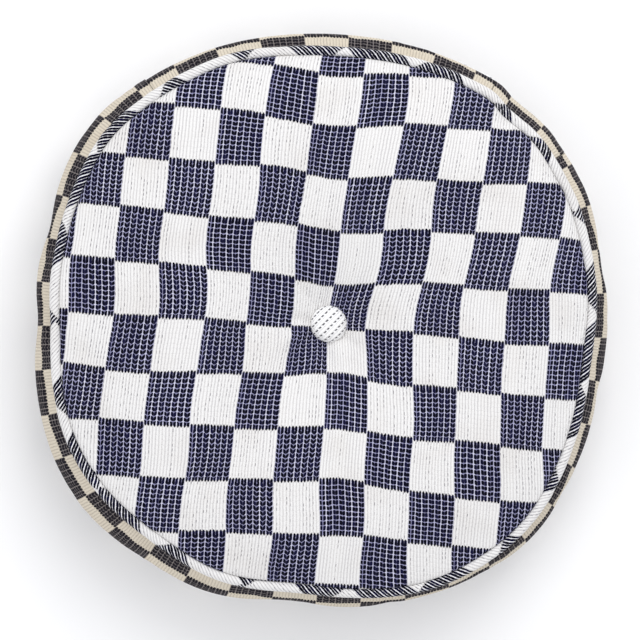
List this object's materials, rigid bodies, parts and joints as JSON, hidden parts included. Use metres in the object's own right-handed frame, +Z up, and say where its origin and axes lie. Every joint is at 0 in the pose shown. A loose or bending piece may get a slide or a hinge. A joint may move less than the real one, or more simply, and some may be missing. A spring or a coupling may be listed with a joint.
{
  "type": "seat cushion",
  "caption": "Round boxed seat cushion with piped edges, a covered button tufted through its middle and a zipped side band.",
  "frame": {"origin": "middle of the underside's bounding box, on the surface the cushion rests on", "axes": "+Z up out of the buttoned top face, +Y towards the side whose band holds the zip, +X to the right seen from above with +Y away"},
  "size_m": [0.45, 0.4484, 0.112],
  "materials": {
    "check_cloth": "ribbed cotton, woven in ivory and navy checks",
    "bias_cloth": "the same cloth cut on the bias",
    "ivory_cloth": "ribbed ivory cotton stretched on the bias",
    "cotton_cord": "twisted cotton piping cord",
    "foam": "cut open-cell polyurethane foam",
    "batting": "lofted polyester fibre",
    "zip_tape": "woven polyester tape",
    "zip_coil": "moulded nylon coil",
    "nickel": "bright nickel-plated zinc",
    "steel": "pressed steel",
    "twine": "waxed upholstery twine"
  },
  "bodies": {
    "cushion": {"top_panel": "check_cloth", "bottom_panel": "check_cloth", "band_front": "check_cloth", "band_zip_upper": "check_cloth", "band_zip_lower": "check_cloth", "top_piping_cover": "bias_cloth", "top_piping_cord": "cotton_cord", "bottom_piping_cover": "bias_cloth", "bottom_piping_cord": "cotton_cord", "foam_core": "foam", "fibre_wrap_top": "batting", "fibre_wrap_bottom": "batting", "zip_tape_upper": "zip_tape", "zip_tape_lower": "zip_tape", "zip_coil_upper": "zip_coil", "zip_coil_lower": "zip_coil", "zip_bottom_stop": "nickel", "zip_top_stop_upper": "nickel", "zip_top_stop_lower": "nickel", "top_button_cover": "ivory_cloth", "top_button_shell": "steel", "top_button_back": "steel", "top_button_shank": "steel", "bottom_button_cover": "ivory_cloth", "bottom_button_shell": "steel", "bottom_button_back": "steel", "bottom_button_shank": "steel", "tuft_twine": "twine", "twine_knot": "twine"},
    "slider": {"zip_slider": "nickel"},
    "pull": {"zip_pull": "nickel"}
  },
  "joints": [
    {"name": "zip_run", "type": "hinge", "parent": "cushion", "child": "slider", "pos_m": [0, -0.05005, 0.054], "axis": [0, 0, 1], "range_deg": [0, 49]},
    {"name": "pull_swing", "type": "hinge", "parent": "slider", "child": "pull", "pos_m": [0.11136, 0.20008, 0.054], "axis": [0, 0, 1], "range_deg": [0, 150]}
  ]
}
